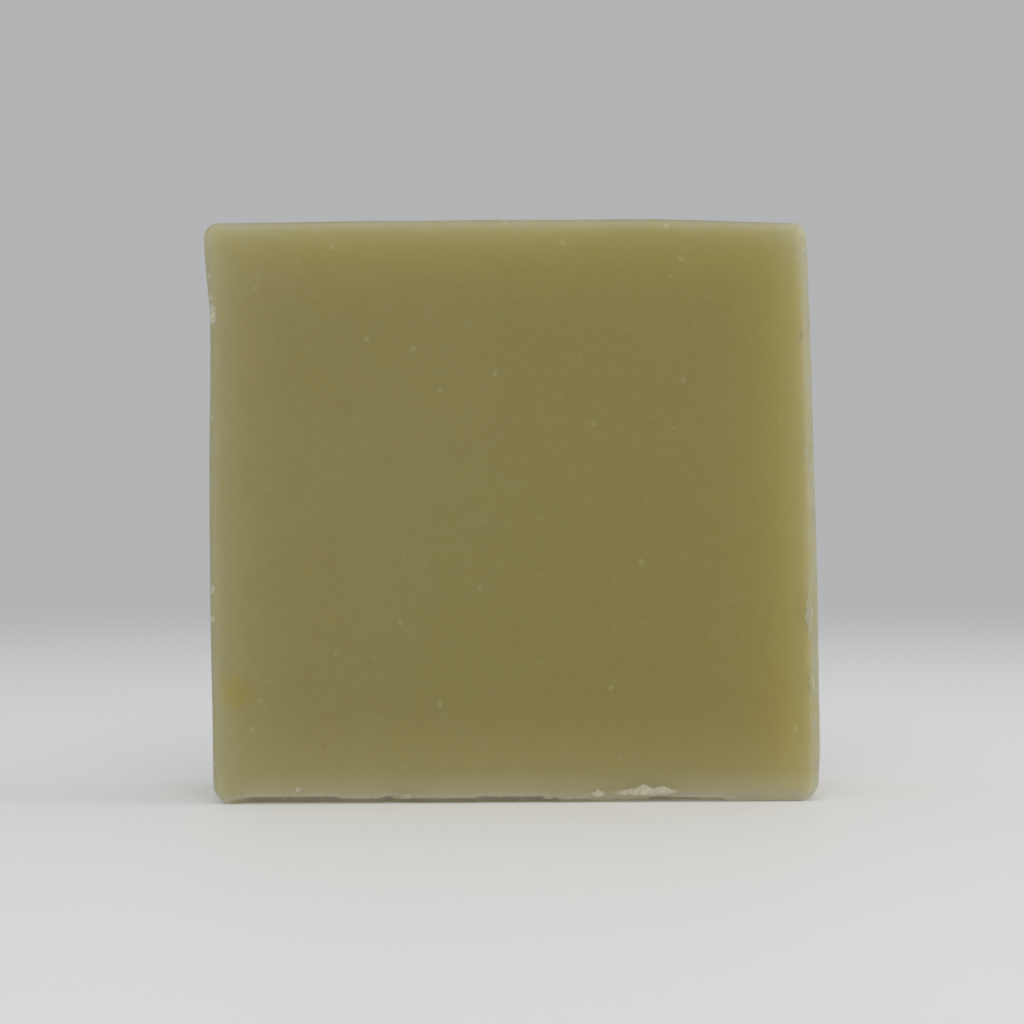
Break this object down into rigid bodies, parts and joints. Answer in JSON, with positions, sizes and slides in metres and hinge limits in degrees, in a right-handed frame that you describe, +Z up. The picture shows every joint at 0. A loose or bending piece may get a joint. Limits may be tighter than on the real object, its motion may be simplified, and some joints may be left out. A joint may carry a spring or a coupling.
{
  "type": "square shaving soap bar",
  "caption": "Hand-cut square bar of translucent olive-green shaving soap with rounded corners and eased, chipped edges, standing on its long edge.",
  "frame": {"origin": "middle of the foot that the bar stands on, under the middle of its bounding box", "axes": "+Z up as it stands on its long edge, +X along its width to the right as seen from the front, -Y out of the front cut face, +Y out of the back cut face"},
  "size_m": [0.075, 0.0253, 0.071],
  "materials": {
    "soap": "satin",
    "dried_soap": "matte"
  },
  "bodies": {
    "root": {"soap_bar": "soap", "edge_shavings": "dried_soap"}
  },
  "joints": []
}
